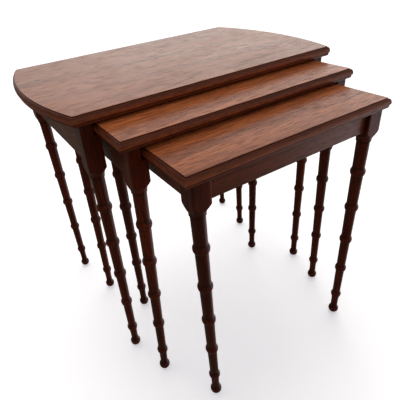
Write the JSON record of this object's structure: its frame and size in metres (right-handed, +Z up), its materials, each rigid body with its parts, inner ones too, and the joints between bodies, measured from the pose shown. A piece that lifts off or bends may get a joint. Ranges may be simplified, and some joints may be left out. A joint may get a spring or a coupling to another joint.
{
  "type": "nest of tables",
  "caption": "Nest of mahogany side tables with turned bamboo-pattern legs: a bow-ended top over rectangular ones that slide out from under it.",
  "frame": {"origin": "on the floor, under the middle of the whole nest with the tables pulled out", "axes": "+X along the tops, +Y towards the closed back of the large table, +Z up; the smaller tables pull out towards -Y"},
  "size_m": [0.587, 0.551, 0.5375],
  "materials": {
    "face_veneer": "satin polished mahogany veneer",
    "edge_lipping": "polished mahogany moulding",
    "turned_leg": "dark polished mahogany turning",
    "rail": "polished mahogany",
    "core_board": "raw particle board",
    "backing_veneer": "unpolished veneer",
    "runner": "waxed hardwood",
    "dowel": "raw beech",
    "screw": "zinc plated"
  },
  "bodies": {
    "large_table": {"large_core": "core_board", "large_veneer": "face_veneer", "large_backing_veneer": "backing_veneer", "large_lipping_front": "edge_lipping", "large_lipping_rear": "edge_lipping", "large_lipping_left": "edge_lipping", "large_lipping_right": "edge_lipping", "large_leg_front_left": "turned_leg", "large_leg_front_right": "turned_leg", "large_leg_rear_left": "turned_leg", "large_leg_rear_right": "turned_leg", "large_rail_left": "rail", "large_rail_right": "rail", "large_rail_rear": "rail", "large_runner_left": "runner", "large_runner_right": "runner", "large_dowels": "dowel", "large_screws": "screw"},
    "medium_table": {"medium_core": "core_board", "medium_veneer": "face_veneer", "medium_backing_veneer": "backing_veneer", "medium_lipping_front": "edge_lipping", "medium_lipping_rear": "edge_lipping", "medium_lipping_left": "edge_lipping", "medium_lipping_right": "edge_lipping", "medium_leg_front_left": "turned_leg", "medium_leg_front_right": "turned_leg", "medium_leg_rear_left": "turned_leg", "medium_leg_rear_right": "turned_leg", "medium_rail_left": "rail", "medium_rail_right": "rail", "medium_rail_rear": "rail", "medium_runner_left": "runner", "medium_runner_right": "runner", "medium_dowels": "dowel", "medium_screws": "screw"},
    "small_table": {"small_core": "core_board", "small_veneer": "face_veneer", "small_backing_veneer": "backing_veneer", "small_lipping_front": "edge_lipping", "small_lipping_rear": "edge_lipping", "small_lipping_left": "edge_lipping", "small_lipping_right": "edge_lipping", "small_leg_front_left": "turned_leg", "small_leg_front_right": "turned_leg", "small_leg_rear_left": "turned_leg", "small_leg_rear_right": "turned_leg", "small_rail_left": "rail", "small_rail_right": "rail", "small_rail_rear": "rail", "small_rail_front": "rail", "small_dowels": "dowel", "small_screws": "screw"}
  },
  "joints": [
    {"name": "medium_slide", "type": "slide", "parent": "large_table", "child": "medium_table", "axis": [0, -1, 0], "range_m": [-0.103, 0.24]},
    {"name": "small_slide", "type": "slide", "parent": "medium_table", "child": "small_table", "axis": [0, -1, 0], "range_m": [-0.0905, 0.215]}
  ]
}
